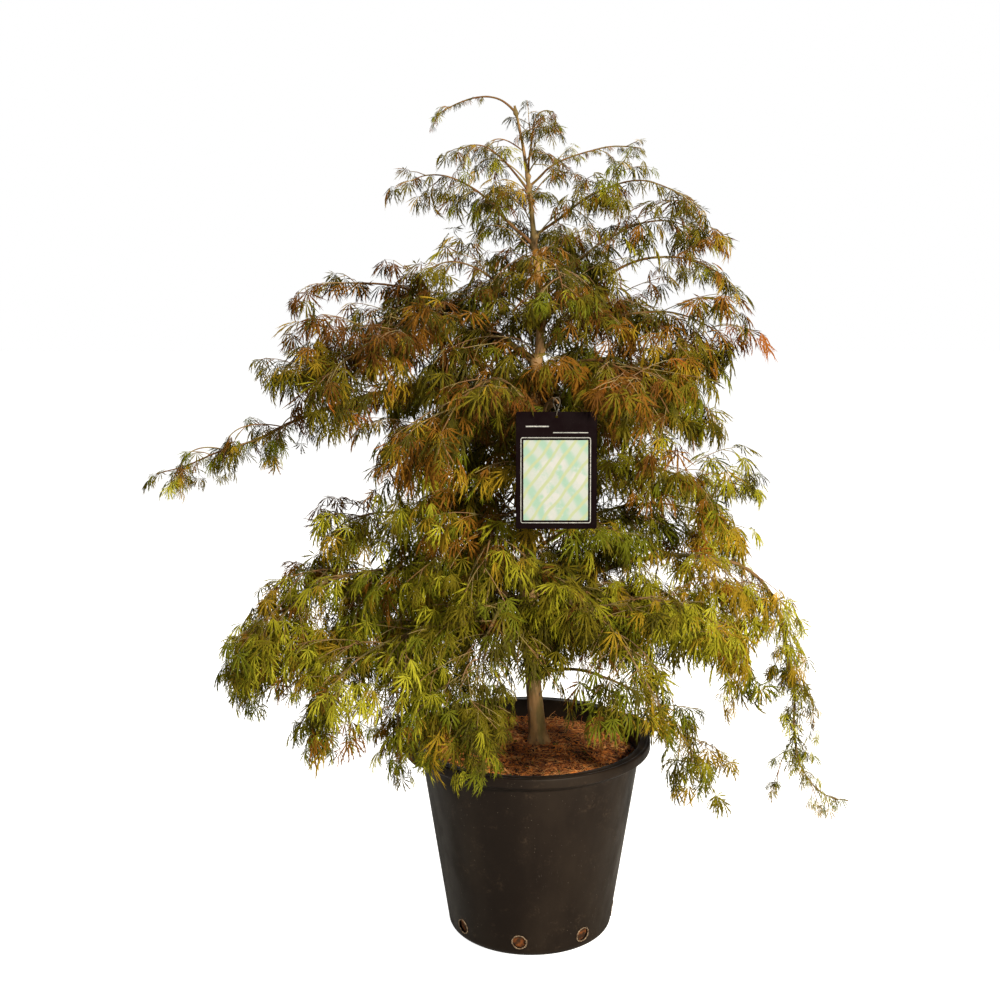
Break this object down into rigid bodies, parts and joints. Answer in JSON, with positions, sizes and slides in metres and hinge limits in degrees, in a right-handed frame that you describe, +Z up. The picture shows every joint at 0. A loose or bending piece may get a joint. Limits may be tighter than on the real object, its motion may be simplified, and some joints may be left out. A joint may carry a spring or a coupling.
{
  "type": "potted japanese maple",
  "caption": "Weeping laceleaf maple tree in a round black nursery pot, one slender trunk with arching boughs in tiers and hanging cut leaves, with a picture card tied to one bough.",
  "frame": {"origin": "centre of the flat underside of the pot, on the floor", "axes": "+Z up along the pot's axis, -Y to the front where the card faces, +X to the right seen from the front"},
  "size_m": [1.4679, 1.0651, 1.7233],
  "materials": {
    "pot_plastic": "satin",
    "compost": "matte",
    "bark": "matte",
    "leaf_green": "satin",
    "leaf_bronze": "satin",
    "card_black": "gloss",
    "tie_cord": "matte"
  },
  "bodies": {
    "root": {"bough_arched_right": "bark", "bough_card_bough": "bark", "bough_far_right": "bark", "bough_long_left": "bark", "bough_low_back": "bark", "bough_low_back_left": "bark", "bough_low_back_right": "bark", "bough_low_front": "bark", "bough_low_front_left": "bark", "bough_low_left": "bark", "bough_low_left_high": "bark", "bough_low_right": "bark", "bough_middle_back": "bark", "bough_middle_back_left": "bark", "bough_middle_back_right": "bark", "bough_middle_front_left": "bark", "bough_middle_left_high": "bark", "bough_middle_right": "bark", "card": "card_black", "card_tie": "tie_cord", "foliage_arched_right": "leaf_bronze", "foliage_card_bough": "leaf_green", "foliage_far_right": "leaf_green", "foliage_hanging_right": "leaf_green", "foliage_high_back": "leaf_bronze", "foliage_high_left": "leaf_bronze", "foliage_high_right": "leaf_bronze", "foliage_long_left": "leaf_green", "foliage_low_back": "leaf_green", "foliage_low_back_left": "leaf_green", "foliage_low_back_right": "leaf_green", "foliage_low_front": "leaf_green", "foliage_low_front_left": "leaf_green", "foliage_low_front_right": "leaf_green", "foliage_low_left": "leaf_green", "foliage_low_left_high": "leaf_green", "foliage_low_middle": "leaf_green", "foliage_low_right": "leaf_green", "foliage_middle_back": "leaf_green", "foliage_middle_back_left": "leaf_green", "foliage_middle_back_right": "leaf_bronze", "foliage_middle_front_left": "leaf_bronze", "foliage_middle_front_right": "leaf_bronze", "foliage_middle_left": "leaf_bronze", "foliage_middle_left_high": "leaf_bronze", "foliage_middle_left_low": "leaf_green", "foliage_middle_right": "leaf_green", "foliage_middle_right_high": "leaf_bronze", "foliage_middle_right_low": "leaf_green", "foliage_right_shoulder": "leaf_green", "foliage_stray_right": "leaf_bronze", "foliage_top_arch": "leaf_bronze", "foliage_top_left": "leaf_bronze", "foliage_top_right": "leaf_bronze", "foliage_upper_front": "leaf_bronze", "foliage_upper_left": "leaf_bronze", "foliage_upper_right": "leaf_bronze", "pot": "pot_plastic", "soil": "compost", "trunk": "bark"}
  },
  "joints": []
}
